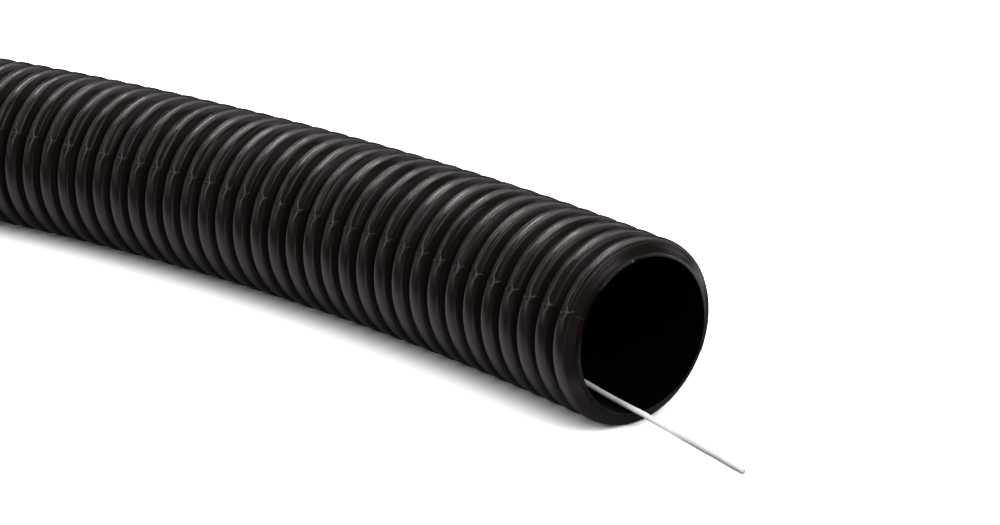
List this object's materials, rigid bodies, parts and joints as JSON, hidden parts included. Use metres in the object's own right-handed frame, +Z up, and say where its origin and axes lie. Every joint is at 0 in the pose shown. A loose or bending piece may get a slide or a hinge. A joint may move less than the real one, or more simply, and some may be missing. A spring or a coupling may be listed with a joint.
{
  "type": "cable duct",
  "caption": "Black flexible corrugated twin-wall cable duct, cut square in a valley at both ends and lying with a gentle coil bend, with a white draw cord through its smooth bore.",
  "frame": {"origin": "bottom centre of the duct's bounding box, on the floor", "axes": "+X along the straight line between the two mouths, towards the mouth seen in the picture; +Y towards the outer side of the bend; +Z up"},
  "size_m": [1.1575, 0.1846, 0.11],
  "materials": {
    "duct": "satin black moulded polyethylene",
    "draw_cord": "white polypropylene cord"
  },
  "bodies": {
    "root": {"duct": "duct", "draw_cord": "draw_cord"}
  },
  "joints": []
}
